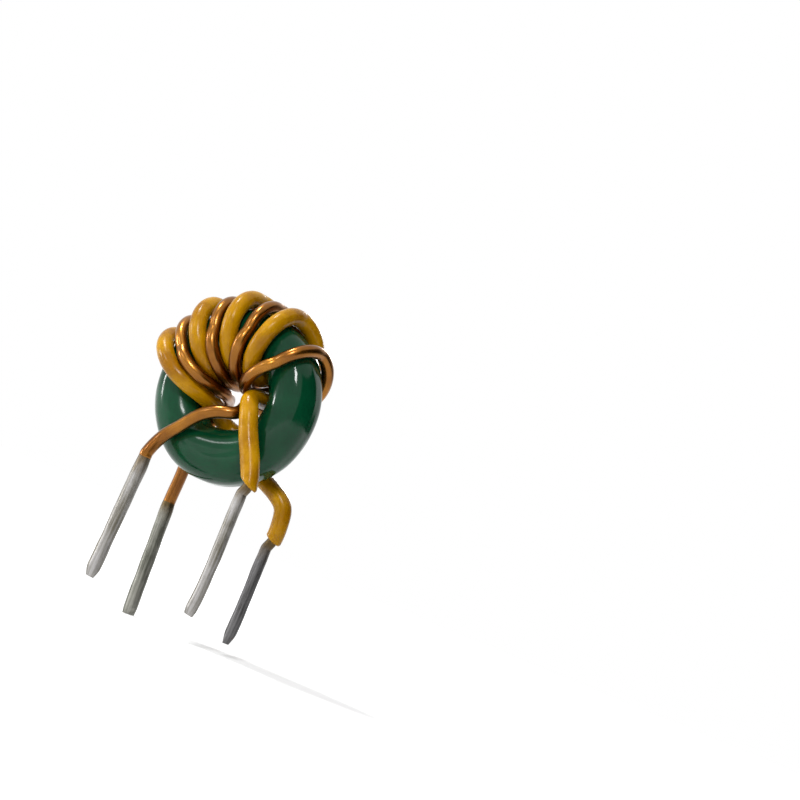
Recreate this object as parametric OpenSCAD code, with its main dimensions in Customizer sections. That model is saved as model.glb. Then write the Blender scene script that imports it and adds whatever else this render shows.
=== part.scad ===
// Toroidal inductor: two windings, wound side by side through a coated ferrite ring that stands
// on the four tinned lead ends. Millimetres, +Z up, ring axis along Y, front face towards -Y.
// The origin is the middle of the lead pattern, on the top face of the board that takes the leads.

/* [Ring core] */
// Outside diameter over the coating
core_od = 9.8; // [9:0.1:11]
// Bore diameter inside the coating
core_id = 4.3; // [4.2:0.1:5.2]
// Height along the ring axis
core_height = 3; // [2.8:0.1:4]
// Radius that the coating gives the edges
core_edge_r = 1.3; // [0.8:0.05:1.4]
// Height of the ring axis above the board
core_stand = 7.9; // [7.5:0.1:10]
// Sideways place of the ring axis, from the middle of the lead pattern
core_shift = -0.55; // [-1:0.05:0]

/* [Copper wire] */
// Diameter over the enamel
enamel_d = 0.7; // [0.6:0.02:0.8]
// Diameter of the stripped ends
copper_d = 0.64; // [0.5:0.02:0.7]
// Diameter of the soldered ends
copper_solder_d = 0.78; // [0.72:0.02:0.9]

/* [Yellow wire] */
// Diameter over the insulation
insulation_d = 0.98; // [0.9:0.02:1.1]
// Diameter of the conductor
conductor_d = 0.56; // [0.4:0.02:0.6]
// Diameter of the soldered ends
yellow_solder_d = 0.66; // [0.62:0.02:0.8]

/* [Leads] */
// Lead spacing from the copper pair to the yellow pair
lead_pitch_x = 6.7; // [6.5:0.1:7.5]
// Lead spacing from front to rear
lead_pitch_y = 4.5; // [4.4:0.1:5.4]
// Start of the front copper solder, below the ring axis
front_copper_start = 4.8; // [4.6:0.1:6]
// Start of the rear copper solder, below the ring axis
rear_copper_start = 6.7; // [6:0.1:8]
// Start of the front yellow solder, below the ring axis
front_yellow_start = 4.9; // [4.8:0.1:5.4]
// Start of the rear yellow solder, below the ring axis
rear_yellow_start = 7.1; // [7:0.1:8]
// Length of the front copper solder
front_copper_solder_l = 7.1; // [6:0.1:9]
// Length of the rear copper solder
rear_copper_solder_l = 6.5; // [5:0.1:9]
// Length of the front yellow solder
front_yellow_solder_l = 6.8; // [6:0.05:9]
// Length of the rear yellow solder
rear_yellow_solder_l = 5.45; // [5:0.05:9]

/* [Hidden] */

// Fineness of round solids, sides of a wire, steps along each half turn, each bend and each tip
$fn = 96;
wire_sides = 10;
half_steps = 9;
bend_steps = 4;
tip_steps = 6;

// Clearances: wire to ring, wire to wire, conductor in its insulation, wire in its solder, enamel to solder
seat_gap = 0.05;
wire_gap = 0.05;
sleeve_gap = 0.02;
solder_gap = 0.01;
solder_start_gap = 0.05;

// Solder: cap beyond the wire's end, round of the tip and run-in taper at its start
solder_cap = 0.12;
tip_round = 0.22;
taper_l = 0.7;
// Straight run of a copper and of a yellow wire above its solder. The yellow wire leaves its insulation
// before that, beside the solder and above its start. The pull turns a wire towards its straight solder.
copper_run = 0.25;
yellow_run = 0.2;
bare_side = 0.23;
bare_l = 0.7;
lead_pull = 0.2;

core_r = core_od / 2;
bore_r = core_id / 2;
face_y = core_height / 2;
// The edges' round stays within the section
edge_share = 0.95;
edge_r = min(core_edge_r, edge_share * face_y, edge_share * (core_r - bore_r) / 2);
edge_y = face_y - edge_r;
flat_l = core_r - bore_r - 2 * edge_r;
enamel_r = enamel_d / 2;
insulation_r = insulation_d / 2;
core_place = [core_shift, 0, core_stand];

// Winding: in the bore the yellow passes lie on the wall, and the copper ones nest in the valleys
// between them. Angles run clockwise from straight down, seen from the front. The pitch of the passes is
// the smallest whole angle at which the nested ones clear each other.
passes = 5;
winding_middle = 173;
least_pitch = 45;
most_pitch = 62;
pass_gap = 0.025;
yellow_bore_r = bore_r - insulation_r - seat_gap;
nest_reach = enamel_r + insulation_r + wire_gap;
function nest_r(pitch) =
    yellow_bore_r * cos(pitch / 2)
    - sqrt(max(0, nest_reach ^ 2 - (yellow_bore_r * sin(pitch / 2)) ^ 2));
clear_pitches = [
    for (pitch = [least_pitch:most_pitch])
        if (2 * nest_r(pitch) * sin(pitch / 2) >= enamel_d + pass_gap) pitch
];
pass_pitch = len(clear_pitches) > 0 ? clear_pitches[0] : most_pitch;
copper_bore_r = nest_r(pass_pitch);
// Place of each wire's first pass, and of its turns on the outside of the ring, in shares of the
// pass pitch from the winding's middle
copper_pass_share = 2.24;
yellow_pass_share = 1.73;
copper_crest_shares = [1.06, 0.21, -0.36, -0.96];
yellow_crest_shares = [0.52, -0.09, -0.62, -1.25];
// How soon a nested wire leaves the ring's edge on its way into the bore
lift_power = 0.7;
// How strongly a half turn's sweep round the ring is drawn to the bore, over the front and the rear face
front_sweep_power = 1.6;
rear_sweep_power = 1.25;

// Lead routes: [x, z, depth], first as shares of the bore radius, then as shares of the outer radius.
// The depth is a share of the wire's height over the ring's middle plane, where it lies on a face.
front_copper_hole_shares = [[0.48, -0.27, 0.63], [0.13, -0.42, 0.92], [-0.3, -0.74, 1]];
front_copper_face_shares = [[-0.31, -0.53, 1], [-0.46, -0.71, 1.02]];
front_yellow_hole_shares = [[0.81, 0.03, 0.74]];
front_yellow_face_shares = [[0.46, -0.13, 0.96], [0.55, -0.32, 1], [0.74, -0.65, 1.03]];
rear_copper_hole_shares = [[-0.74, -0.2, 0.95]];
rear_copper_face_shares = [[-0.47, -0.38, 1], [-0.55, -0.7, 1], [-0.57, -1.02, 1.08]];
rear_yellow_hole_shares = [[-0.48, -0.74, 0.82], [0.02, -0.94, 1]];
rear_yellow_face_shares = [[0.31, -0.66, 1], [0.66, -0.82, 1], [0.81, -0.935, 1.05], [0.85, -1.13, 1.08]];

function unit(v) = v / norm(v);
function reversed(list) = [for (i = [len(list) - 1:-1:0]) list[i]];

// Place at an angle and radius from the ring axis and a depth along it
function around(angle, radius, depth) = [-radius * sin(angle), depth, -radius * cos(angle)];

// Share of a half turn's sweep round the ring that is done at a share of its way from the bore
function sweep_share(share, power) = 1 - (1 - share) ^ power;

// A half turn runs from the bore over one face to the outside: round the bore's edge, along the flat
// of the face and round the outer edge. At a share of that way, the length along it, the angle turned
// so far, the slide along the flat and the distance from the middle of the edge's round.
function edge_length(wire_r) = PI / 2 * (edge_r + wire_r + seat_gap);
function way_length(share, wire_r) = share * (2 * edge_length(wire_r) + flat_l);
function edge_angle(share, wire_r) =
    let (way = way_length(share, wire_r), edge_l = edge_length(wire_r))
    90 * (min(way, edge_l) + max(0, way - edge_l - flat_l)) / edge_l;
function flat_slide(share, wire_r) =
    min(flat_l, max(0, way_length(share, wire_r) - edge_length(wire_r)));
function edge_distance(angle, wire_r, bore_place) =
    let (seated = edge_r + wire_r + seat_gap)
    seated + (bore_r + edge_r - bore_place - seated) * max(0, cos(angle)) ^ lift_power;

// Angle of the k-th pass through the bore and of the k-th crest on the outside
function pass_angle(share, k) = winding_middle + (share - k) * pass_pitch;
function crest_angle(shares, k) = winding_middle + shares[k] * pass_pitch;

// All turns of one wire, from its first pass through the bore to its last. Each goes out over the
// rear face and comes back over the front.
function turns(pass_share, crest_shares, wire_r, bore_place) = [
    for (k = [0:passes - 2], back = [0, 1], i = [0:half_steps])
        let (
            t = i / half_steps,
            share = back == 0 ? t : 1 - t,
            crest = crest_angle(crest_shares, k),
            pass = pass_angle(pass_share, k + back),
            angle = edge_angle(share, wire_r),
            distance = edge_distance(angle, wire_r, bore_place)
        )
        around(
            pass + (crest - pass) * sweep_share(share, back == 0 ? rear_sweep_power : front_sweep_power),
            bore_r + edge_r + flat_slide(share, wire_r) - distance * cos(angle),
            (back == 0 ? 1 : -1) * (edge_y + distance * sin(angle))
        )
];

// Smooth curve through points, with the first and last point only giving its end directions
function bend_point(p, q, from, to, t) =
    let (reach = norm(q - p))
    (2 * t ^ 3 - 3 * t ^ 2 + 1) * p + (t ^ 3 - 2 * t ^ 2 + t) * reach * from
    + (3 * t ^ 2 - 2 * t ^ 3) * q + (t ^ 3 - t ^ 2) * reach * to;
function smooth(points) = [
    for (i = [1:len(points) - 3], j = [0:bend_steps - 1])
        bend_point(
            points[i],
            points[i + 1],
            unit(points[i + 1] - points[i - 1]),
            unit(points[i + 2] - points[i]),
            j / bend_steps
        )
];

// Route of a lead from the bore to the end of its wire. Side is -1 at the front and 1 at the rear. The
// steps are the last places above the start of the solder, seen from there.
copper_steps = [[0, 0, copper_run]];
yellow_steps = [[bare_side, 0, bare_l], [0, 0, yellow_run]];
function lead_route(
    angle, bore_place, wire_r, side, hole_shares, face_shares, lead_x, steps, start, solder_l
) =
    let (
        depth = side * (face_y + wire_r + seat_gap),
        foot = [lead_x - core_shift, side * lead_pitch_y / 2, -start],
        way = concat(
            [around(angle, bore_place, -side * edge_y), around(angle, bore_place, side * edge_y)],
            [for (s = hole_shares) [s[0] * bore_r, s[2] * depth, s[1] * bore_r]],
            [for (s = face_shares) [s[0] * core_r, s[2] * depth, s[1] * core_r]],
            [for (s = steps) foot + s],
            [foot - [0, 0, lead_pull]]
        )
    )
    concat(
        smooth(way),
        [foot + steps[len(steps) - 1], foot, foot - [0, 0, solder_l - solder_cap]]
    );

copper_x = -lead_pitch_x / 2;
yellow_x = lead_pitch_x / 2;

front_copper_route = lead_route(
    pass_angle(copper_pass_share, 0), copper_bore_r, enamel_r, -1,
    front_copper_hole_shares, front_copper_face_shares,
    copper_x, copper_steps, front_copper_start, front_copper_solder_l
);
rear_copper_route = lead_route(
    pass_angle(copper_pass_share, passes - 1), copper_bore_r, enamel_r, 1,
    rear_copper_hole_shares, rear_copper_face_shares,
    copper_x, copper_steps, rear_copper_start, rear_copper_solder_l
);
front_yellow_route = lead_route(
    pass_angle(yellow_pass_share, 0), yellow_bore_r, insulation_r, -1,
    front_yellow_hole_shares, front_yellow_face_shares,
    yellow_x, yellow_steps, front_yellow_start, front_yellow_solder_l
);
rear_yellow_route = lead_route(
    pass_angle(yellow_pass_share, passes - 1), yellow_bore_r, insulation_r, 1,
    rear_yellow_hole_shares, rear_yellow_face_shares,
    yellow_x, yellow_steps, rear_yellow_start, rear_yellow_solder_l
);

// Whole wires from end to end, the second and the last but one point being where the solder starts
copper_path = concat(
    reversed(front_copper_route),
    turns(copper_pass_share, copper_crest_shares, enamel_r, copper_bore_r),
    rear_copper_route
);
yellow_path = concat(
    reversed(front_yellow_route),
    turns(yellow_pass_share, yellow_crest_shares, insulation_r, yellow_bore_r),
    rear_yellow_route
);

// Directions along a path and, square to them, side directions that turn as little as they can
function directions(path) = [
    for (i = [0:len(path) - 1])
        unit(path[min(i + 1, len(path) - 1)] - path[max(i - 1, 0)])
];
function sideways(directions) = [
    for (
        i = 0, side = unit(cross(directions[0], [0, 1, 0]));
        i < len(directions);
        i = i + 1, side = i < len(directions) ? unit(side - (side * directions[i]) * directions[i]) : side
    ) side
];

// Rings of corners round a path, with one radius for each point of it
function rings(path, radii) =
    let (ahead = directions(path), side = sideways(ahead))
    [
        for (i = [0:len(path) - 1])
            let (up = cross(ahead[i], side[i]))
            [for (j = [0:wire_sides - 1])
                let (a = 360 * j / wire_sides)
                path[i] + radii[i] * (cos(a) * side[i] + sin(a) * up)]
    ];

// Faces between neighbouring rings of corners, from a first corner on
function wall_faces(count, first, outward) = [
    for (i = [0:count - 2], j = [0:wire_sides - 1], half = [0, 1])
        let (
            k = (j + 1) % wire_sides,
            a = first + i * wire_sides + j,
            b = first + i * wire_sides + k,
            c = b + wire_sides,
            d = a + wire_sides,
            face = half == 0 ? [a, b, c] : [a, c, d]
        )
        outward ? reversed(face) : face
];
function cap_face(first) = [for (j = [0:wire_sides - 1]) first + j];

// Faces that join the end of a tube's outside to the end of its bore
function rim_faces(outer, inner, forward) = [
    for (j = [0:wire_sides - 1], half = [0, 1])
        let (
            k = (j + 1) % wire_sides,
            face = half == 0
                ? [outer + j, outer + k, inner + k]
                : [outer + j, inner + k, inner + j]
        )
        forward ? face : reversed(face)
];

module solid_wire(path, radii) {
    corners = rings(path, radii);
    count = len(path);
    polyhedron(
        points = [for (ring = corners) each ring],
        faces = concat(
            wall_faces(count, 0, true),
            [cap_face(0)],
            [reversed(cap_face((count - 1) * wire_sides))]
        ),
        convexity = 10
    );
}

module tube_wire(outer, inner) {
    count = len(outer);
    first_inner = count * wire_sides;
    end = (count - 1) * wire_sides;
    polyhedron(
        points = [for (ring = concat(outer, inner)) each ring],
        faces = concat(
            wall_faces(count, 0, true),
            wall_faces(count, first_inner, false),
            rim_faces(0, first_inner, true),
            rim_faces(end, first_inner + end, false)
        ),
        convexity = 10
    );
}

// Solder over a wire's end: taper, round outside, rounded tip and a blind bore for the wire
module solder_coat(lead_x, side, start, solder_l, outer_d, wire_d) {
    outer_r = outer_d / 2;
    wall_r = wire_d / 2 + solder_gap;
    rim_r = (outer_r + wall_r) / 2;
    round_r = min(tip_round, outer_r);
    length = solder_l - solder_start_gap;
    translate([lead_x, side * lead_pitch_y / 2, core_stand - start - solder_start_gap])
        mirror([0, 0, 1])
        rotate_extrude()
        polygon(concat(
            [[wall_r, 0], [rim_r, 0], [outer_r, taper_l]],
            [for (i = [0:tip_steps])
                let (a = 90 * i / tip_steps)
                [outer_r - round_r * (1 - cos(a)), length - round_r * (1 - sin(a))]],
            [[0, length], [0, length - solder_cap + solder_gap], [wall_r, length - solder_cap + solder_gap]]
        ));
}

// Coated ring, its section rounded at all four edges
module toroid_core() {
    color("#1f6142")
        translate(core_place)
        rotate([90, 0, 0])
        rotate_extrude()
        translate([bore_r + edge_r, 0])
        union() {
            translate([-edge_r, -edge_y])
                square([flat_l + 2 * edge_r, 2 * edge_y]);
            translate([0, -face_y])
                square([flat_l, core_height]);
            for (x = [0, flat_l], y = [-edge_y, edge_y])
                translate([x, y])
                    circle(r = edge_r);
        }
}

// Enamelled copper wire in one length, stripped to the bare copper at both ends
module copper_winding() {
    count = len(copper_path);
    path = concat(
        [copper_path[0], copper_path[1]],
        [for (i = [1:count - 2]) copper_path[i]],
        [copper_path[count - 2], copper_path[count - 1]]
    );
    radii = [for (i = [0:count + 1]) i < 2 || i > count - 1 ? copper_d / 2 : enamel_r];
    color("#b5762e")
        translate(core_place)
        solid_wire(path, radii);
}

// Copper conductor inside the yellow wire, in one length
module yellow_conductor() {
    color("#b87333")
        translate(core_place)
        solid_wire(yellow_path, [for (p = yellow_path) conductor_d / 2]);
}

// Yellow insulation, cut back at both ends. The bend to the solder, its foot and the tip stay bare.
module yellow_insulation() {
    outer = rings(yellow_path, [for (p = yellow_path) insulation_r]);
    inner = rings(yellow_path, [for (p = yellow_path) conductor_d / 2 + sleeve_gap]);
    covered = [2 + bend_steps:len(yellow_path) - 3 - bend_steps];
    color("#d2a012")
        translate(core_place)
        tube_wire([for (i = covered) outer[i]], [for (i = covered) inner[i]]);
}

module front_copper_solder() {
    color("#c9cac7")
        solder_coat(copper_x, -1, front_copper_start, front_copper_solder_l, copper_solder_d, copper_d);
}

module rear_copper_solder() {
    color("#c9cac7")
        solder_coat(copper_x, 1, rear_copper_start, rear_copper_solder_l, copper_solder_d, copper_d);
}

module front_yellow_solder() {
    color("#c9cac7")
        solder_coat(yellow_x, -1, front_yellow_start, front_yellow_solder_l, yellow_solder_d, conductor_d);
}

module rear_yellow_solder() {
    color("#c9cac7")
        solder_coat(yellow_x, 1, rear_yellow_start, rear_yellow_solder_l, yellow_solder_d, conductor_d);
}

toroid_core();
copper_winding();
yellow_conductor();
yellow_insulation();
front_copper_solder();
rear_copper_solder();
front_yellow_solder();
rear_yellow_solder();
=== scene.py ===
"""Dress a toroidal inductor: a coated ring, two wires wound side by side and four tinned leads.

Lengths are in millimetres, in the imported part's own frame, until a mesh is made in metres. The ring's
axis lies along Y with its front face towards -Y, and the leads hang down from it.
"""
import logging
import math
from collections.abc import Sequence
from dataclasses import dataclass
from enum import Enum
from typing import Any

import bpy
import numpy as np
from bpy.types import Material, Node, NodeSocket, NodeTree, Object
from mathutils import Matrix, Vector


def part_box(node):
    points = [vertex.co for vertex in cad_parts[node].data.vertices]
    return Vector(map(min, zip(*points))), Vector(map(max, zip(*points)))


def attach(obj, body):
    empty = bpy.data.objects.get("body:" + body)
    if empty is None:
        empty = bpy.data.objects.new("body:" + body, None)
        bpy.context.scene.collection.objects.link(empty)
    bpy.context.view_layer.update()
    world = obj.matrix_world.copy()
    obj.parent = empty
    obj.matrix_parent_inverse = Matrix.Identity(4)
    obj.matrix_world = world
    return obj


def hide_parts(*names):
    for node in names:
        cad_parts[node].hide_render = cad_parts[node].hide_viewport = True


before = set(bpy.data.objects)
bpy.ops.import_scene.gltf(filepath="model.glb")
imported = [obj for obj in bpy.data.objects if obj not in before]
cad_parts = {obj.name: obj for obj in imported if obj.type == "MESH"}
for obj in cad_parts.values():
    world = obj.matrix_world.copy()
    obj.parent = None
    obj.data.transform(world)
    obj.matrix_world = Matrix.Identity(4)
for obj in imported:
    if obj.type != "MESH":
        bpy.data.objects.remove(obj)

LOG = logging.getLogger("toroidal_inductor")
MM = 0.001
BODY = "root"
WHITE = "#ffffff"
ALONG = "along_mm"  # Length along a wire, kept on its mesh for the finish.
AROUND = "around_turns"  # Runs from 0 to 1 over half the wire's girth, and back.
HALF_GIRTH = 1.1  # About half the girth of a lead.
MIX_SHARE, MIX_FROM, MIX_TO, MIX_RESULT = 0, 6, 7, 2  # Sockets of a Mix node that mixes colours.
BOW_SCALE = 27 / 4  # The curve s^2 (1 - s) peaks at 4/27, so this brings its peak to one.
STILL = 1e-9  # Shorter steps of a path have no direction of their own.


class Face(Enum):
    """Face of the ring over which a lead comes out, with the sign of its Y."""

    FRONT = -1
    REAR = 1


class Surface(Enum):
    """How a mesh is shaded."""

    SMOOTH = True
    FACETED = False


def linear(hex_colour: str) -> tuple[float, float, float, float]:
    """Turn an sRGB hex colour into the linear colour that shaders take.

    Args:
        hex_colour: Colour such as "#1f6142".

    Returns:
        Linear red, green and blue, with an alpha of one.
    """
    parts = [int(hex_colour[i:i + 2], 16) / 255 for i in (1, 3, 5)]
    red, green, blue = (c / 12.92 if c <= 0.04045 else ((c + 0.055) / 1.055) ** 2.4 for c in parts)
    return (red, green, blue, 1.0)


def per_metre(size_mm: float) -> float:
    """Give a pattern's scale in metres of object space from the real size of its features."""
    return 1 / (size_mm * MM)


def add_node(
    tree: NodeTree,
    kind: str,
    inputs: dict[str | int, Any] | None = None,
    settings: dict[str, Any] | None = None,
    stops: Sequence[tuple[float, str]] = (),
) -> Node:
    """Add a shader node, set it up and link it.

    Args:
        tree: Node tree that takes the node.
        kind: Blender's name of the node's type, after "ShaderNode".
        inputs: A value for each socket, or the socket that feeds it, or the node whose first output does.
        settings: Values of the node's own properties.
        stops: Position and hex colour of a colour ramp's two stops.

    Returns:
        The new node.
    """
    node = tree.nodes.new("ShaderNode" + kind)
    for name, value in (settings or {}).items():
        setattr(node, name, value)
    for i, (position, colour) in enumerate(stops):
        node.color_ramp.elements[i].position = position
        node.color_ramp.elements[i].color = linear(colour)
    for name, value in (inputs or {}).items():
        if isinstance(value, Node):
            value = value.outputs[0]
        if isinstance(value, NodeSocket):
            tree.links.new(value, node.inputs[name])
        else:
            node.inputs[name].default_value = value
    return node


def new_material(name: str) -> tuple[Material, NodeTree]:
    """Make an empty node material.

    Args:
        name: Name of the material.

    Returns:
        The material and its node tree.
    """
    material = bpy.data.materials.new(name)
    material.use_nodes = True
    material.node_tree.nodes.clear()
    return material, material.node_tree


def drawn_out(tree: NodeTree, rate: float, width_mm: float) -> NodeSocket:
    """Add nodes that give the place on a wire, drawn out along it, for a pattern of scale one.

    Args:
        tree: Node tree that takes them.
        rate: Changes of the pattern per millimetre of wire.
        width_mm: Width of its lines.

    Returns:
        The place, as a vector socket.
    """
    along, around = (add_node(tree, "Attribute", settings={"attribute_name": name}).outputs["Fac"]
                     for name in (ALONG, AROUND))
    spot = add_node(tree, "CombineXYZ", {"X": along, "Y": around})
    drawn = add_node(tree, "VectorMath", {0: spot, 1: (rate, HALF_GIRTH / width_mm, 1.0)},
                     {"operation": "MULTIPLY"})
    return drawn.outputs["Vector"]


@dataclass(frozen=True)
class Finish:
    """Finish of a piece: patterns that feed one principled shader.

    Attributes:
        name: Name of its material.
    """

    name: str = ""

    def sockets(self, tree: NodeTree, spot: NodeSocket) -> dict[str, Any]:
        """Build the patterns.

        Args:
            tree: Node tree that takes them.
            spot: The place on the object, in metres.

        Returns:
            What each socket of the shader takes.
        """
        raise NotImplementedError

    def material(self) -> Material:
        """Build the node material.

        Returns:
            The material.
        """
        material, tree = new_material(self.name)
        spot = add_node(tree, "TexCoord").outputs["Object"]
        shader = add_node(tree, "BsdfPrincipled", self.sockets(tree, spot))
        add_node(tree, "OutputMaterial", {"Surface": shader})
        return material


@dataclass(frozen=True)
class EpoxyCoat(Finish):
    """Green epoxy powder coat, fused on the ferrite ring.

    The powder melts into a thick glossy skin that is a little wavy and holds a few nibs of dust, so
    highlights come out sharp but broken.
    """

    name: str = "epoxy_powder_coat_fused"
    thick: str = "#033a22"
    thin: str = "#074a2d"
    roughness: float = 0.13
    ior: float = 1.32
    mottle_mm: float = 2.2  # Clouds of thicker and thinner coat.
    wave_mm: float = 1.3  # Slow waves of the melt.
    peel_mm: float = 0.3  # Fine peel of the powder.
    nib_mm: float = 0.5  # Spacing of the dust nibs.

    def sockets(self, tree: NodeTree, spot: NodeSocket) -> dict[str, Any]:
        """Build a mottled green and a wavy, peeled and specked skin.

        Args:
            tree: Node tree that takes the patterns.
            spot: The place on the object, in metres.

        Returns:
            What each socket of the shader takes.
        """
        mottle = add_node(tree, "TexNoise", {
            "Vector": spot, "Scale": per_metre(self.mottle_mm), "Detail": 3.0, "Roughness": 0.55})
        colour = add_node(tree, "ValToRGB", {"Fac": mottle}, stops=((0.3, self.thick), (0.7, self.thin)))
        gloss = add_node(tree, "MapRange", {
            "Value": mottle, "From Min": 0.3, "From Max": 0.7,
            "To Min": self.roughness - 0.05, "To Max": self.roughness + 0.06})
        wave = add_node(tree, "TexNoise", {"Vector": spot, "Scale": per_metre(self.wave_mm), "Detail": 1.0})
        peel = add_node(tree, "TexNoise", {"Vector": spot, "Scale": per_metre(self.peel_mm), "Detail": 2.0})
        nib = add_node(tree, "TexVoronoi", {
            "Vector": spot, "Scale": per_metre(self.nib_mm), "Randomness": 1.0})
        speck = add_node(tree, "MapRange", {
            "Value": nib, "From Min": 0.0, "From Max": 0.16, "To Min": 1.0, "To Max": 0.0})
        wavy = add_node(tree, "Bump", {"Height": wave, "Strength": 0.35, "Distance": 0.05 * MM})
        peeled = add_node(tree, "Bump", {
            "Height": peel, "Strength": 0.2, "Distance": 0.012 * MM, "Normal": wavy})
        specked = add_node(tree, "Bump", {
            "Height": speck, "Strength": 0.3, "Distance": 0.01 * MM, "Normal": peeled})
        return {"Base Color": colour, "Roughness": gloss, "IOR": self.ior, "Normal": specked}


@dataclass(frozen=True)
class EnamelledCopper(Finish):
    """Drawn copper wire under a clear amber enamel.

    The metal gives broad golden highlights and dark brown sides, and the enamel lays a thin sharp gloss
    over them. Faint lines run along the wire from the drawing die.
    """

    name: str = "enamelled_copper_drawn"
    bright: str = "#9c671f"
    deep: str = "#65380e"
    roughness: float = 0.3
    enamel_share: float = 0.3
    enamel_roughness: float = 0.14
    enamel_ior: float = 1.5
    tone_mm: float = 3.0  # Patches of darker enamel.
    line_mm: float = 0.066  # Real die lines are finer: they are drawn as coarse as they need to show.
    line_rate: float = 0.12  # Changes of a line per millimetre of wire.

    def sockets(self, tree: NodeTree, spot: NodeSocket) -> dict[str, Any]:
        """Build a patchy amber metal with die lines under a clear coat.

        Args:
            tree: Node tree that takes the patterns.
            spot: The place on the object, in metres.

        Returns:
            What each socket of the shader takes.
        """
        tone = add_node(tree, "TexNoise", {
            "Vector": spot, "Scale": per_metre(self.tone_mm), "Detail": 4.0, "Roughness": 0.6})
        colour = add_node(tree, "ValToRGB", {"Fac": tone}, stops=((0.3, self.deep), (0.68, self.bright)))
        lines = add_node(tree, "TexNoise", {
            "Vector": drawn_out(tree, self.line_rate, self.line_mm), "Scale": 1.0, "Detail": 2.0})
        gloss = add_node(tree, "MapRange", {
            "Value": lines, "From Min": 0.3, "From Max": 0.7,
            "To Min": self.roughness - 0.06, "To Max": self.roughness + 0.08})
        scored = add_node(tree, "Bump", {"Height": lines, "Strength": 0.15, "Distance": 0.01 * MM})
        return {"Base Color": colour, "Metallic": 1.0, "Roughness": gloss,
                "Normal": scored, "Coat Weight": self.enamel_share,
                "Coat Roughness": self.enamel_roughness, "Coat IOR": self.enamel_ior}


@dataclass(frozen=True)
class ExtrudedInsulation(Finish):
    """Deep yellow plastic insulation, extruded on the wire and varnished with the winding.

    It looks soft and a little waxy, with a broken gloss and browner smears where it was handled.
    """

    name: str = "yellow_insulation_extruded"
    bright: str = "#c79100"
    deep: str = "#9d6800"
    smear: str = "#7a4a08"
    roughness: float = 0.26
    ior: float = 1.28
    tone_mm: float = 1.8  # Clouds of the pigment.
    smear_mm: float = 1.1  # Smears from handling.
    smear_share: float = 0.45
    dent_mm: float = 0.45  # Small dents and lumps.

    def sockets(self, tree: NodeTree, spot: NodeSocket) -> dict[str, Any]:
        """Build a cloudy, smeared yellow and a dented waxy skin.

        Args:
            tree: Node tree that takes the patterns.
            spot: The place on the object, in metres.

        Returns:
            What each socket of the shader takes.
        """
        tone = add_node(tree, "TexNoise", {"Vector": spot, "Scale": per_metre(self.tone_mm), "Detail": 3.0})
        colour = add_node(tree, "ValToRGB", {"Fac": tone}, stops=((0.32, self.deep), (0.62, self.bright)))
        handled = add_node(tree, "TexNoise", {
            "Vector": spot, "Scale": per_metre(self.smear_mm), "Detail": 5.0, "Roughness": 0.65})
        worn = add_node(tree, "MapRange", {
            "Value": handled, "From Min": 0.6, "From Max": 0.78,
            "To Min": 0.0, "To Max": self.smear_share})
        smeared = add_node(tree, "Mix", {
            MIX_SHARE: worn, MIX_FROM: colour, MIX_TO: linear(self.smear)}, {"data_type": "RGBA"})
        dents = add_node(tree, "TexNoise", {"Vector": spot, "Scale": per_metre(self.dent_mm), "Detail": 2.0})
        gloss = add_node(tree, "MapRange", {
            "Value": dents, "From Min": 0.3, "From Max": 0.7,
            "To Min": self.roughness - 0.1, "To Max": self.roughness + 0.08})
        dented = add_node(tree, "Bump", {"Height": dents, "Strength": 0.45, "Distance": 0.04 * MM})
        return {"Base Color": smeared.outputs[MIX_RESULT], "Roughness": gloss,
                "IOR": self.ior, "Normal": dented, "Subsurface Weight": 0.12,
                "Subsurface Radius": (1.0, 0.6, 0.15), "Subsurface Scale": 0.25 * MM}


@dataclass(frozen=True)
class DrawnCopper(Finish):
    """Bare drawn copper of the yellow wire's conductor, seen only where its insulation ends.

    It is a reddish metal with a satin gloss, a little spotted where air has dulled it.
    """

    name: str = "copper_drawn_bare"
    bright: str = "#96603a"
    dull: str = "#653922"
    roughness: float = 0.32
    tone_mm: float = 0.4  # Dull spots.

    def sockets(self, tree: NodeTree, spot: NodeSocket) -> dict[str, Any]:
        """Build a spotted metal.

        Args:
            tree: Node tree that takes the patterns.
            spot: The place on the object, in metres.

        Returns:
            What each socket of the shader takes.
        """
        tone = add_node(tree, "TexNoise", {"Vector": spot, "Scale": per_metre(self.tone_mm), "Detail": 3.0})
        colour = add_node(tree, "ValToRGB", {"Fac": tone}, stops=((0.35, self.dull), (0.65, self.bright)))
        return {"Base Color": colour, "Metallic": 1.0, "Roughness": self.roughness}


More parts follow.
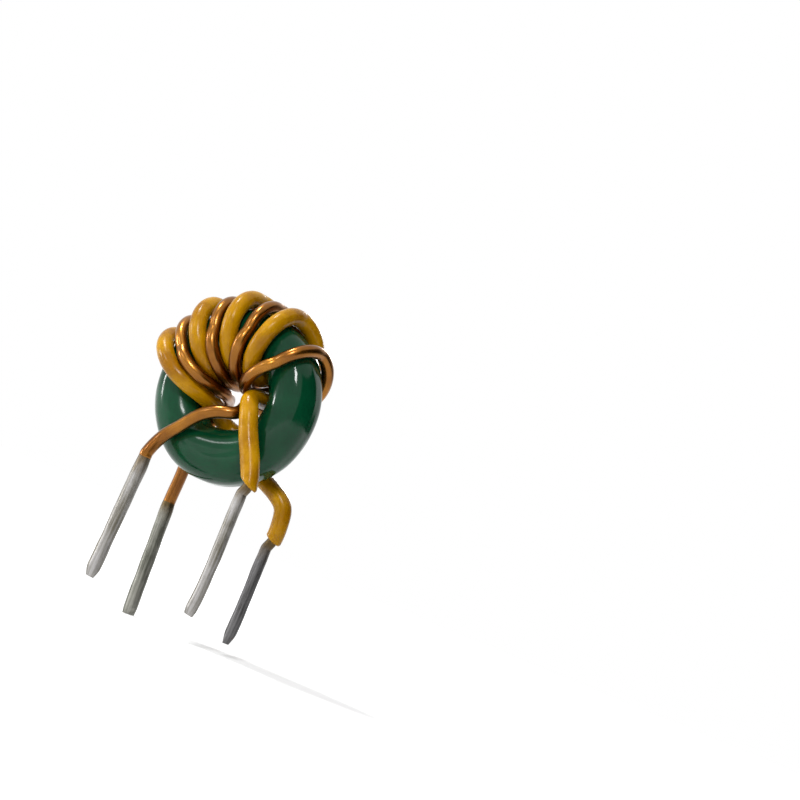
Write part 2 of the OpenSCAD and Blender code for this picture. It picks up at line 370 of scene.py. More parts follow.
@dataclass(frozen=True)
class DippedTin(Finish):
    """Tin solder on a wire's end, left as it ran and set after the dip.

    It is pale grey and satin, with darker runs along the lead, and goes brown over the first stretch,
    where flux and burnt enamel show through a thin coat.
    """

    name: str = "tin_solder_dipped"
    bright: str = "#a9a7a6"
    dull: str = "#6c685d"
    flux: str = "#554426"
    roughness: float = 0.46
    run_mm: float = 0.22  # Width of the runs.
    run_rate: float = 0.2  # Changes of a run per millimetre of lead.
    patch_mm: float = 0.9  # Patches of duller tin.
    patch_share: float = 0.25  # Their weight in the colour, beside the runs.
    ragged_mm: float = 1.2  # Unevenness of the flux's edge.
    flux_start_mm: float = 0.9  # Where the flux begins to fade, with that unevenness.
    flux_mm: float = 1.1  # Length over which it fades.
    flux_share: float = 0.9

    def sockets(self, tree: NodeTree, spot: NodeSocket) -> dict[str, Any]:
        """Build runs and patches of tin, browned by flux at the start.

        Args:
            tree: Node tree that takes the patterns.
            spot: The place on the object, in metres.

        Returns:
            What each socket of the shader takes.
        """
        runs = add_node(tree, "TexNoise", {
            "Vector": drawn_out(tree, self.run_rate, self.run_mm), "Scale": 1.0, "Detail": 3.0,
            "Roughness": 0.6})
        patches = add_node(tree, "TexNoise", {
            "Vector": spot, "Scale": per_metre(self.patch_mm), "Detail": 4.0})
        mixed = add_node(tree, "Math", {
            0: patches, 1: self.patch_share, 2: runs}, {"operation": "MULTIPLY_ADD"})
        colour = add_node(tree, "ValToRGB", {"Fac": mixed},
                          stops=((0.48, self.dull), (0.74, self.bright)))
        along = add_node(tree, "Attribute", settings={"attribute_name": ALONG})
        ragged = add_node(tree, "Math", {
            0: patches, 1: self.ragged_mm, 2: along.outputs["Fac"]}, {"operation": "MULTIPLY_ADD"})
        burnt = add_node(tree, "MapRange", {
            "Value": ragged, "From Min": self.flux_start_mm,
            "From Max": self.flux_start_mm + self.flux_mm, "To Min": self.flux_share, "To Max": 0.0})
        tinted = add_node(tree, "Mix", {
            MIX_SHARE: burnt, MIX_FROM: colour, MIX_TO: linear(self.flux)}, {"data_type": "RGBA"})
        gloss = add_node(tree, "MapRange", {
            "Value": patches, "From Min": 0.3, "From Max": 0.7,
            "To Min": self.roughness - 0.06, "To Max": self.roughness + 0.08})
        ridged = add_node(tree, "Bump", {"Height": runs, "Strength": 0.25, "Distance": 0.02 * MM})
        return {"Base Color": tinted.outputs[MIX_RESULT], "Metallic": 1.0,
                "Roughness": gloss, "Normal": ridged}


def unit(vectors: np.ndarray) -> np.ndarray:
    """Scale a vector, or each row of vectors, to length one."""
    return vectors / np.linalg.norm(vectors, axis=-1, keepdims=True)


def wander(places: np.ndarray, period: float, seed: int) -> np.ndarray:
    """Give a smooth seeded wave that never quite repeats.

    Args:
        places: Places to read the wave at, in any unit.
        period: Usual distance between its crests, in that unit.
        seed: Seed of its phases.

    Returns:
        Values from about -1 to 1.
    """
    rates = (1.0, 1.618, 0.618, 2.414)
    weights = (0.45, 0.25, 0.2, 0.1)
    phases = np.random.default_rng(seed).uniform(0, 2 * math.pi, len(rates))
    turns = 2 * math.pi * places / period
    return sum(w * np.sin(turns * r + p) for w, r, p in zip(weights, rates, phases))


def lengths_along(path: np.ndarray) -> np.ndarray:
    """Give the length along a path at each of its points."""
    steps = np.linalg.norm(np.diff(path, axis=0), axis=1)
    return np.concatenate([[0.0], np.cumsum(steps)])


def evened(path: np.ndarray, step: float) -> np.ndarray:
    """Set points at even steps along a path.

    Args:
        path: Points of the path.
        step: Distance between the new points, about.

    Returns:
        The new points, with the same ends.
    """
    along = lengths_along(path)
    count = max(2, round(along[-1] / step) + 1)
    even = np.linspace(0, along[-1], count)
    return np.stack([np.interp(even, along, path[:, axis]) for axis in range(3)], axis=1)


def softened(path: np.ndarray, reach: int, straight: int) -> np.ndarray:
    """Round off the small kinks of an evenly stepped path, as a stiff wire does.

    Args:
        path: Evenly stepped points.
        reach: Number of steps on each side that a point is averaged over.
        straight: Number of points at each end that stay where they are.

    Returns:
        The softened points.
    """
    weights = np.cos(np.linspace(-0.5, 0.5, 2 * reach + 3)[1:-1] * math.pi) ** 2
    weights /= weights.sum()
    padded = np.pad(path, ((reach, reach), (0, 0)), mode="edge")
    soft = np.stack([np.convolve(padded[:, axis], weights, "valid") for axis in range(3)], axis=1)
    keep = np.clip((np.minimum(np.arange(len(path)), np.arange(len(path))[::-1]) - straight) / reach, 0, 1)
    return path + (soft - path) * keep[:, None]


def rounds(count: int) -> list[tuple[int, int]]:
    """Pair each number of a closed round with the next one."""
    return [(i, (i + 1) % count) for i in range(count)]


def tube_faces(rings: int, sides: int) -> list[tuple[int, ...]]:
    """List the faces of a tube that closes to a middle point at each end.

    Args:
        rings: Number of its rings of corners.
        sides: Number of corners in a ring.

    Returns:
        Corners of each face, by number: the rings in order, then the first and the last middle point.
    """
    first, last, end = rings * sides, rings * sides + 1, (rings - 1) * sides
    faces = [(i + j, i + k, i + k + sides, i + j + sides)
             for i in range(0, end, sides) for j, k in rounds(sides)]
    for j, k in rounds(sides):
        faces += [(first, k, j), (last, end + j, end + k)]
    return faces


def spokes(path: np.ndarray, sides: int) -> np.ndarray:
    """Give directions across a path that turn about it as little as they can.

    Args:
        path: Points of the path.
        sides: Number of directions at each point.

    Returns:
        The directions, for each point in turn.
    """
    ahead = np.gradient(path, axis=0)
    for i in range(1, len(ahead)):
        if np.linalg.norm(ahead[i]) < STILL:
            ahead[i] = ahead[i - 1]
    ahead = unit(ahead)
    side = unit(np.cross(ahead[0], (0.0, 1.0, 0.0)))
    rows = []
    for direction in ahead:
        side = unit(side - (side @ direction) * direction)
        rows.append(side)
    level = np.array(rows)
    upright = np.cross(ahead, level)
    turn = 2 * math.pi * np.arange(sides)[:, None] / sides
    return np.cos(turn) * level[:, None, :] + np.sin(turn) * upright[:, None, :]


@dataclass
class Sweep:
    """Round wire or coat as rings of corners along a path.

    Attributes:
        name: Name of the piece.
        path: Middle of each ring.
        radii: Radius of each ring, or of each corner of each ring.
        sides: Number of corners in a ring.
        along: Length shown to the finish at each ring, or None for the length along the path.
    """

    name: str
    path: np.ndarray
    radii: np.ndarray
    sides: int
    along: np.ndarray | None = None

    def build(self) -> Object:
        """Make the mesh, closed at both ends, with its length and turn kept for the finish.

        Returns:
            The piece, in the scene.
        """
        count = len(self.path)
        radii = self.radii if self.radii.ndim == 2 else self.radii[:, None]
        corners = self.path[:, None, :] + radii[:, :, None] * spokes(self.path, self.sides)
        points = np.concatenate([corners.reshape(-1, 3), self.path[:1], self.path[-1:]])
        piece = mesh_piece(self.name, points, tube_faces(count, self.sides), Surface.SMOOTH)
        along = lengths_along(self.path) if self.along is None else self.along
        marks = np.concatenate([np.repeat(along, self.sides), along[:1], along[-1:]])
        turn = np.abs(2 * np.arange(self.sides) / self.sides - 1)
        turns = np.concatenate([np.tile(turn, count), [0.0, 0.0]])
        for label, values in ((ALONG, marks), (AROUND, turns)):
            attribute = piece.data.attributes.new(label, "FLOAT", "POINT")
            attribute.data.foreach_set("value", values.astype(np.float32))
        return piece


def mesh_piece(
    name: str,
    points: np.ndarray,
    faces: Sequence[Sequence[int]],
    surface: Surface,
) -> Object:
    """Make a mesh object in metres from points in millimetres.

    Args:
        name: Name of the object.
        points: Points in the part's frame.
        faces: Corners of each face, by number.
        surface: How it is shaded.

    Returns:
        The object, in the scene.
    """
    mesh = bpy.data.meshes.new(name)
    mesh.from_pydata((points * MM).tolist(), [], faces)
    mesh.validate()
    mesh.polygons.foreach_set("use_smooth", [surface.value] * len(mesh.polygons))
    mesh.update()
    piece = bpy.data.objects.new(name, mesh)
    bpy.context.scene.collection.objects.link(piece)
    return piece


def dress(piece: Object, node: str, material: Material) -> None:
    """Dress a piece and let it stand for a node of the part.

    Args:
        piece: The piece.
        node: Node that it replaces.
        material: Its finish.
    """
    piece.data.materials.append(material)
    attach(piece, BODY)
    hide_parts(node)
    LOG.info("%s: %d faces, finish %s", piece.name, len(piece.data.polygons), material.name)


def node_box(node: str) -> tuple[np.ndarray, np.ndarray]:
    """Give a node's lowest and highest corners in millimetres."""
    low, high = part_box(node)
    return np.array(low) / MM, np.array(high) / MM


@dataclass
class RingCore:
    """Coated ring, revolved round its axis along Y, with a slightly uneven coat.

    Attributes:
        bore_d: Bore diameter inside the coat.
        edge_r: Radius that the coat gives the edges.
        wave: Height of the coat's waves.
        waves: Share of that height, crests round the ring, crests round its section and start, in turns,
            of each wave.
        wave_drop: Share of that height by which the waves lie deeper than the coat's full thickness.
        sag: Thickness of the run that the coat left in the bore, in front at the bottom.
        sag_angle: Middle of that run.
        sag_spread: Its spread to each side, in degrees.
        sag_depth: Depth at which it ends, as a share of half the ring's thickness.
        around_steps: Steps round the ring.
        edge_steps: Steps round each edge of its section.
        flat_steps: Steps along each straight stretch of its section.
    """

    bore_d: float = 4.3
    edge_r: float = 1.3
    wave: float = 0.03
    waves: Sequence[tuple[float, int, int, float]] = (
        (0.3, 3, 1, 0.3), (0.3, 3, -1, 0.1), (0.5, 5, 2, 0.0), (0.4, 8, -1, 0.55))
    wave_drop: float = 0.5
    sag: float = 0.4
    sag_angle: float = -10.0
    sag_spread: float = 36.0
    sag_depth: float = 0.5
    around_steps: int = 240
    edge_steps: int = 14
    flat_steps: int = 6

    def __post_init__(self) -> None:
        """Take the ring's place and outer sizes from the frame."""
        low, high = node_box("toroid_core")
        self.centre: np.ndarray = (low + high) / 2
        self.outer_r: float = (high[0] - low[0]) / 2
        self.face_y: float = (high[1] - low[1]) / 2
        self.bore_r: float = self.bore_d / 2
        self.edge_y: float = self.face_y - self.edge_r
        self.flat_l: float = self.outer_r - self.bore_r - 2 * self.edge_r

    def around(self, angle: np.ndarray, radius: np.ndarray, depth: np.ndarray) -> np.ndarray:
        """Give places round the ring axis, from the ring's middle.

        Args:
            angle: Degrees clockwise from straight down, seen from the front.
            radius: Distance from the axis.
            depth: Place along the axis.

        Returns:
            One point for each.
        """
        turn = np.radians(angle)
        return np.stack(np.broadcast_arrays(-radius * np.sin(turn), depth, -radius * np.cos(turn)), axis=-1)

    def section(self) -> np.ndarray:
        """Lay the outline of the ring's section.

        Returns:
            Radius, depth and the two shares of the outward direction of each point.
        """
        inner, outer = self.bore_r + self.edge_r, self.outer_r - self.edge_r
        corners = ((outer, self.edge_y, 0), (inner, self.edge_y, 90),
                   (inner, -self.edge_y, 180), (outer, -self.edge_y, 270))
        rows = []
        for k, (radius, depth, start) in enumerate(corners):
            for turn in np.radians(start + np.linspace(0, 90, self.edge_steps + 1)):
                out = (math.cos(turn), math.sin(turn))
                rows.append((radius + self.edge_r * out[0], depth + self.edge_r * out[1], *out))
            last = np.array(rows[-1])
            ahead = np.array(corners[(k + 1) % len(corners)][:2]) + self.edge_r * last[2:]
            for share in np.arange(1, self.flat_steps) / self.flat_steps:
                rows.append((*(last[:2] + (ahead - last[:2]) * share), *last[2:]))
        return np.array(rows)

    def build(self, finish: EpoxyCoat) -> None:
        """Make the ring and coat it.

        Args:
            finish: Its finish.
        """
        section = self.section()
        count = len(section)
        angles = np.arange(self.around_steps) * 360 / self.around_steps
        grid_a, grid_s = np.meshgrid(angles / 360, np.arange(count) / count, indexing="ij")
        waves = sum(share * np.sin(2 * math.pi * (around * grid_a + across * grid_s + start))
                    for share, around, across, start in self.waves)
        turned = (angles - self.sag_angle + 180) % 360 - 180
        inwards = np.clip(-section[:, 2], 0, 1) * np.clip(self.sag_depth - section[:, 1] / self.face_y, 0, 1)
        run = self.sag * np.exp(-(turned / self.sag_spread) ** 2)
        uneven = self.wave * (waves - self.wave_drop) + run[:, None] * inwards[None, :]
        radius = section[None, :, 0] + uneven * section[None, :, 2]
        depth = section[None, :, 1] + uneven * section[None, :, 3]
        points = self.centre + self.around(angles[:, None], radius, depth)
        faces = [(i * count + j, i * count + k, h * count + k, h * count + j)
                 for i, h in rounds(self.around_steps) for j, k in rounds(count)]
        piece = mesh_piece("ring_core", points.reshape(-1, 3), faces, Surface.SMOOTH)
        dress(piece, "toroid_core", finish.material())


@dataclass
class Lead:
    """Way of a wire from the bore to its tinned end.

    Attributes:
        node: Node of the lead's tin coat, which gives its place.
        face: Face of the ring that it comes out over.
        hole_shares: Points inside the bore as x, z and depth, in shares of the bore radius and, for the
            depth, of the wire's height over the ring's middle where it lies on a face.
        face_shares: Points outside it, in shares of the outer radius and of the same height.
        lean: Sideways shift of the tin's start and of its tip, as the wire was bent by hand.
        bow: Sideways bow of the tin between them.
        tip_lift: Height of the tip over the lowest point of its node.
        tail_steps: Number of points laid along the tin.
    """

    node: str
    face: Face
    hole_shares: Sequence[tuple[float, float, float]]
    face_shares: Sequence[tuple[float, float, float]]
    lean: tuple[float, float] = (0.0, 0.0)
    bow: float = 0.0
    tip_lift: float = 0.02
    tail_steps: int = 40

    def __post_init__(self) -> None:
        """Take the lead's place, diameter and length from the frame."""
        low, high = node_box(self.node)
        x, y = (low[:2] + high[:2]) / 2
        self.low_z: float = low[2]
        self.length: float = high[2] - low[2]
        self.radius: float = (high[0] - low[0]) / 2
        self.foot: np.ndarray = np.array((x + self.lean[0], y, high[2]))
        self.tip: np.ndarray = np.array((x + self.lean[1], y, low[2] + self.tip_lift))

    def tail(self, gap: float) -> np.ndarray:
        """Lay the lead from the start of its tin to a distance from the tip.

        Args:
            gap: The distance.

        Returns:
            Points in the part's frame.
        """
        share = np.linspace(0, 1 - gap / self.length, self.tail_steps)[:, None]
        side = np.array((self.bow, 0.0, 0.0))
        return self.foot + (self.tip - self.foot) * share + side * BOW_SCALE * share**2 * (1 - share)


@dataclass
class Winding:
    """One wire's path: a lead, its passes through the bore with the turns between, and another lead.

    Attributes:
        ring: Ring that it is wound on.
        wire_r: Radius over its covering.
        bore_place: Radius from the ring axis at which it passes through the bore.
        pass_share: Place of its first pass, in pitches from the winding's middle.
        crest_shares: Places of its turns on the outside of the ring, in the same pitches.
        front: Lead in front.
        rear: Lead behind.
        steps: Last places above the start of the tin, seen from there.
        passes: Number of passes through the bore.
        pass_pitch: Angle from one pass to the next, in degrees.
        middle: Angle of the winding's middle, in degrees.
        seat_gap: Clearance of the wire over the ring.
        lift_power: Power of the curve in which a turn comes down on the ring from its place in the bore.
        front_sweep_power: Power of the curve in which a turn swings to its crest over the front face.
        rear_sweep_power: The same over the rear face.
        lead_pull: Depth below the start of the tin at which a lead's last bend is aimed.
        half_steps: Steps of a turn over each face.
        bend_steps: Steps between two places of a lead.
        step: Distance between the points of the finished path.
        soft_reach: Steps to each side over which it is softened.
        straight_steps: Points at each of its ends that aren't softened.
    """

    ring: RingCore
    wire_r: float
    bore_place: float
    pass_share: float
    crest_shares: Sequence[float]
    front: Lead
    rear: Lead
    steps: Sequence[tuple[float, float, float]]
    passes: int = 5
    pass_pitch: float = 49.0
    middle: float = 173.0
    seat_gap: float = 0.05
    lift_power: float = 0.7
    front_sweep_power: float = 1.6
    rear_sweep_power: float = 1.25
    lead_pull: float = 0.2
    half_steps: int = 48
    bend_steps: int = 16
    step: float = 0.07
    soft_reach: int = 5
    straight_steps: int = 2

    def pass_angle(self, k: int) -> float:
        """Give the angle of the k-th pass through the bore."""
        return self.middle + (self.pass_share - k) * self.pass_pitch

    def turns(self) -> np.ndarray:
        """Lay all turns, each out over the rear face and back over the front.

        Returns:
            Points from the first pass to the last, from the ring's middle.
        """
        ring = self.ring
        seated = ring.edge_r + self.wire_r + self.seat_gap
        edge_l = math.pi / 2 * seated
        halves = []
        for k in range(self.passes - 1):
            for back, face in enumerate((Face.REAR, Face.FRONT)):
                t = np.linspace(0, 1, self.half_steps + 1)
                share = t if face is Face.REAR else 1 - t
                way = share * (2 * edge_l + ring.flat_l)
                angle = 90 * (np.minimum(way, edge_l) + np.maximum(0, way - edge_l - ring.flat_l)) / edge_l
                slide = np.clip(way - edge_l, 0, ring.flat_l)
                turn = np.radians(angle)
                lift = ring.bore_r + ring.edge_r - self.bore_place - seated
                distance = seated + lift * np.maximum(0, np.cos(turn)) ** self.lift_power
                power = self.rear_sweep_power if face is Face.REAR else self.front_sweep_power
                sweep = 1 - (1 - share) ** power
                crest = self.middle + self.crest_shares[k] * self.pass_pitch
                begin = self.pass_angle(k + back)
                halves.append(ring.around(
                    begin + (crest - begin) * sweep,
                    ring.bore_r + ring.edge_r + slide - distance * np.cos(turn),
                    face.value * (ring.edge_y + distance * np.sin(turn)),
                ))
        return np.concatenate(halves)

    def lead_route(self, lead: Lead, k: int) -> np.ndarray:
        """Lay a lead from the k-th pass through the bore to the start of its tin.

        Args:
            lead: The lead.
            k: Number of the pass.

        Returns:
            Points from the ring's middle.
        """
        ring, side = self.ring, lead.face.value
        height = side * (ring.face_y + self.wire_r + self.seat_gap)
        foot = lead.foot - ring.centre
        angle = self.pass_angle(k)
        edges = [ring.around(np.array(angle), np.array(self.bore_place), np.array(y * ring.edge_y))
                 for y in (-side, side)]
        hole = [np.array((x * ring.bore_r, d * height, z * ring.bore_r)) for x, z, d in lead.hole_shares]
        face = [np.array((x * ring.outer_r, d * height, z * ring.outer_r)) for x, z, d in lead.face_shares]
        steps = [foot + np.array(rise) for rise in self.steps]
        way = [*edges, *hole, *face, *steps, foot - np.array((0, 0, self.lead_pull))]
        points = []
        for i in range(1, len(way) - 2):
            begin, stop = way[i], way[i + 1]
            reach = np.linalg.norm(stop - begin)
            leave, arrive = unit(stop - way[i - 1]) * reach, unit(way[i + 2] - begin) * reach
            for t in np.arange(self.bend_steps) / self.bend_steps:
                points.append(
                    (2 * t**3 - 3 * t**2 + 1) * begin + (t**3 - 2 * t**2 + t) * leave
                    + (3 * t**2 - 2 * t**3) * stop + (t**3 - t**2) * arrive
                )
        return np.array([*points, steps[-1], foot])

    def path(self) -> np.ndarray:
        """Lay the whole wire from the front tin to the rear tin.

        Returns:
            Evenly stepped points in the part's frame.
        """
        whole = np.concatenate([
            self.lead_route(self.front, 0)[::-1],
            self.turns(),
            self.lead_route(self.rear, self.passes - 1),
        ])
        return self.ring.centre + softened(evened(whole, self.step), self.soft_reach, self.straight_steps)


@dataclass
class NestedWires:
    """Places of the two wires in the bore, where the copper nests in the valleys between yellow passes.

    Attributes:
        ring: Ring that they are wound on.
        enamel_r: Radius of the copper wire over its enamel.
        insulation_r: Radius of the yellow wire over its sleeve.
        wire_gap: Clearance between them.
    """

    ring: RingCore
    enamel_r: float = 0.35
    insulation_r: float = 0.49
    wire_gap: float = 0.05

    def yellow_place(self) -> float:
        """Give the radius from the ring axis at which the yellow wire passes through the bore."""
        return self.ring.bore_r - self.insulation_r - Winding.seat_gap

    def copper_place(self) -> float:
        """Work out where the copper wire passes through the bore.

        Returns:
            Its radius from the ring axis.
        """
        half_pitch = math.radians(Winding.pass_pitch / 2)
        reach = self.enamel_r + self.insulation_r + self.wire_gap
        apart = self.yellow_place() * math.sin(half_pitch)
        return self.yellow_place() * math.cos(half_pitch) - math.sqrt(max(0.0, reach**2 - apart**2))


@dataclass
class CopperWire:
    """Enamelled copper wire, stripped inside its tin.

    Attributes:
        winding: Its way.
        strip_d: Diameter of the stripped ends.
        sides: Corners of its section.
        tip_gap: Distance of its ends from the ends of the tin.
        uneven_share: Unevenness of its thickness, as a share of its radius.
        uneven_l: Usual length of that unevenness.
        seed: Seed of it.
    """

    winding: Winding
    strip_d: float = 0.64
    sides: int = 28
    tip_gap: float = 0.4
    uneven_share: float = 0.012
    uneven_l: float = 4.0
    seed: int = 11

    def build(self, finish: EnamelledCopper) -> None:
        """Make the wire and enamel it.

        Args:
            finish: Its finish.
        """
        winding = self.winding
        middle = winding.path()
        along = lengths_along(middle)
        even = winding.wire_r * (1 + self.uneven_share * wander(along, self.uneven_l, self.seed))
        strip_r = self.strip_d / 2
        tails = [lead.tail(self.tip_gap) for lead in (winding.front, winding.rear)]
        path = np.concatenate([tails[0][::-1], middle, tails[1]])
        radii = np.concatenate([[strip_r] * len(tails[0]), even, [strip_r] * len(tails[1])])
        marks = np.concatenate([[0.0] * len(tails[0]), along, [along[-1]] * len(tails[1])])
        piece = Sweep("enamelled_copper_wire", path, radii, self.sides, marks).build()
        dress(piece, "copper_winding", finish.material())


@dataclass
class YellowWire:
    """Insulated wire: a copper conductor in a yellow sleeve that is cut back at both ends.

    Attributes:
        winding: Its way.
        conductor_d: Diameter of the conductor.
        sleeve_gap: Clearance of the conductor in its sleeve.
        lip_r: Round of the sleeve's cut ends.
        cut_slants: Rise of the front and the rear cut towards -X, as a share of the width.
        bore_depth: Depth to which the sleeve's bore is open.
        swell_share: How much thicker the sleeve is where it bends down over the front face.
        swell_places: Lengths from its front end at which the swelling starts, is full, fades and ends.
        thin_share: How much thinner it is elsewhere than its node, so that it stays inside.
        uneven_share: Unevenness of its thickness, as a share of its radius.
        uneven_l: Usual length of that unevenness.
        seed: Seed of it.
        sides: Corners of its section.
        tip_gap: Distance of the conductor's ends from the ends of the tin.
    """

    winding: Winding
    conductor_d: float = 0.56
    sleeve_gap: float = 0.02
    lip_r: float = 0.05
    cut_slants: tuple[float, float] = (0.65, 0.25)
    bore_depth: float = 0.5
    swell_share: float = 0.1
    swell_places: tuple[float, float, float, float] = (0.3, 1.3, 8 / 3, 16 / 3)
    thin_share: float = 0.018
    uneven_share: float = 0.016
    uneven_l: float = 3.0
    seed: int = 5
    sides: int = 32
    tip_gap: float = 0.4

    def build(self, sleeve: ExtrudedInsulation, conductor: DrawnCopper) -> None:
        """Make the conductor and its sleeve.

        Args:
            sleeve: Finish of the sleeve.
            conductor: Finish of the conductor.
        """
        winding = self.winding
        middle = winding.path()
        tails = [lead.tail(self.tip_gap) for lead in (winding.front, winding.rear)]
        path = np.concatenate([tails[0][:0:-1], middle, tails[1][1:]])
        radii = np.full(len(path), self.conductor_d / 2)
        piece = Sweep("yellow_wire_conductor", path, radii, self.sides // 2).build()
        dress(piece, "yellow_conductor", conductor.material())

        cuts = [int(np.argmin(np.linalg.norm(middle - lead.foot - np.array(winding.steps[0]), axis=1)))
                for lead in (winding.front, winding.rear)]
        middle = middle[cuts[0]:cuts[1] + 1]
        along = lengths_along(middle)
        swell = self.swell_share * np.interp(along, self.swell_places, (0, 1, 1, 0))
        uneven = self.uneven_share * wander(along, self.uneven_l, self.seed)
        outer = winding.wire_r * (1 + uneven - self.thin_share + swell)
        inner = self.conductor_d / 2 + self.sleeve_gap
        deep = max(1, round(self.bore_depth / winding.step))
        outer[[0, -1]] -= self.lip_r
        self.sleeve_mesh(middle, outer, inner, deep, sleeve)

    def sleeve_mesh(
        self, middle: np.ndarray, outer: np.ndarray, inner: float, deep: int, finish: ExtrudedInsulation
    ) -> None:
        """Make the sleeve: its outside, a rounded lip at each end and a short open bore behind it.

        Args:
            middle: Its path.
            outer: Radius of its outside along the path.
            inner: Radius of its bore.
            deep: Number of steps that the bore is open for.
            finish: Its finish.
        """
        across = spokes(middle, self.sides)
        last = len(middle) - 1
        for end, inwards, slant in ((0, 1, self.cut_slants[0]), (last, -1, self.cut_slants[1])):
            ahead = unit(middle[end] - middle[end + inwards * deep])
            for i in range(deep + 1):
                spoke = across[end + inwards * i]
                spoke += slant * (1 - i / deep) * spoke[:, :1] * ahead
        lining = middle[:, None, :] + inner * across
        outside = middle[:, None, :] + outer[:, None, None] * across
        rings = [*lining[deep::-1], *outside, *lining[:last - deep - 1:-1]]
        points = np.concatenate([*rings, middle[deep:deep + 1], middle[last - deep:last - deep + 1]])
        piece = mesh_piece("yellow_wire_sleeve", points, tube_faces(len(rings), self.sides), Surface.SMOOTH)
        dress(piece, "yellow_insulation", finish.material())


@dataclass
class TinnedEnd:
    """Tin coat of one lead, uneven from the dip and snipped at its tip.

    Attributes:
        lead: Lead that it covers.
        wire: Path of the wire, from its foot inwards.
        core_r: Radius of the wire inside the tin.
        seed: Seed of its unevenness.
        creep: Length by which the tin creeps up the wire over its start.
        snip_l: Length of the tip that the cutter pressed flat.
        snip_share: Share of the thickness left at the very end of it.
        snip_turn: Direction of the cut round the lead, in degrees.
        snip_power: Power of the curve in which the flat begins.
        grow_l: Length below the start over which the tin comes to its full thickness.
        start_share: Share of that thickness at its upper edge.
        uneven_share: Unevenness as a share of the radius.
        swell_l: Usual length of the swells all round the lead.
        lump: Length, share and skew of the smaller lumps.
        drip: Length, share and turn, in radians, of the side that the tin hangs to.
        skin: Least thickness of the tin.
        step: Distance between rings.
        sides: Corners of its section.
    """

    lead: Lead
    wire: np.ndarray
    core_r: float
    seed: int
    creep: float = 0.35
    snip_l: float = 0.4
    snip_share: float = 0.45
    snip_turn: float = 0.0
    snip_power: float = 1.5
    grow_l: float = 0.8
    start_share: float = 0.86
    uneven_share: float = 0.03
    swell_l: float = 2.6
    lump: tuple[float, float, float] = (1.7, 0.6, 0.35)
    drip: tuple[float, float, float] = (5.0, 0.5, 2.0)
    skin: float = 0.012
    step: float = 0.05
    sides: int = 28

    def build(self, finish: Material) -> None:
        """Make the coat and tin it.

        Args:
            finish: The tin's material.
        """
        lead = self.lead
        climb = self.wire[lengths_along(self.wire) <= self.creep]
        path = evened(np.concatenate([climb[::-1], lead.tail(0.0)[1:]]), self.step)
        along = lengths_along(path)
        turn = 2 * math.pi * np.arange(self.sides) / self.sides
        start = np.clip(along / (self.creep + self.grow_l), 0, 1)
        grown = lead.radius * (self.start_share + (1 - self.start_share) * np.sin(start * math.pi / 2))
        lump_l, lump_share, lump_skew = self.lump
        drip_l, drip_share, drip_turn = self.drip
        hang = drip_turn * wander(along, drip_l, self.seed + 2)
        lumps = self.uneven_share * (
            wander(along, self.swell_l, self.seed)[:, None]
            + lump_share * wander(along[:, None] + lump_skew * np.cos(turn), lump_l, self.seed + 1)
            + drip_share * np.cos(turn - hang[:, None])
        )
        radii = np.maximum(grown[:, None] * (1 - self.uneven_share + lumps), self.core_r + self.skin)
        radii[0] = self.core_r - self.skin
        snip = np.clip((along - along[-1] + self.snip_l) / self.snip_l, 0, 1)
        flat = 1 - (1 - self.snip_share) * snip**self.snip_power
        wide = np.cos(turn - math.radians(self.snip_turn)) ** 2
        squeeze = 1 / np.sqrt(wide / flat[:, None] ** 2 + (1 - wide))
        piece = Sweep(lead.node.replace("_solder", "_tin"), path, radii * squeeze, self.sides, along).build()
        dress(piece, lead.node, finish)


@dataclass(frozen=True)
class Lamp:
    """Soft white lamp that the camera doesn't see.

    Attributes:
        name: Name of the lamp.
        towards: Direction from the ring to the lamp.
        far: Its distance from the ring.
        size: Its width and height.
        watts: Its power.
    """

    name: str
    towards: tuple[float, float, float]
    far: float
    size: tuple[float, float]
    watts: float

    def hang(self, centre: np.ndarray) -> None:
        """Hang the lamp so that it shines on the ring.

        Args:
            centre: Middle of the ring.
        """
        data = bpy.data.lights.new(self.name, "AREA")
        data.shape = "RECTANGLE"
        data.size, data.size_y = self.size[0] * MM, self.size[1] * MM
        data.energy = self.watts
        lamp = bpy.data.objects.new(self.name, data)
        away = Vector(self.towards).normalized()
        lamp.location = (Vector(centre) + away * self.far) * MM
        lamp.rotation_mode = "QUATERNION"
        lamp.rotation_quaternion = away.to_track_quat("Z", "Y")
        lamp.visible_camera = False
        bpy.context.scene.collection.objects.link(lamp)


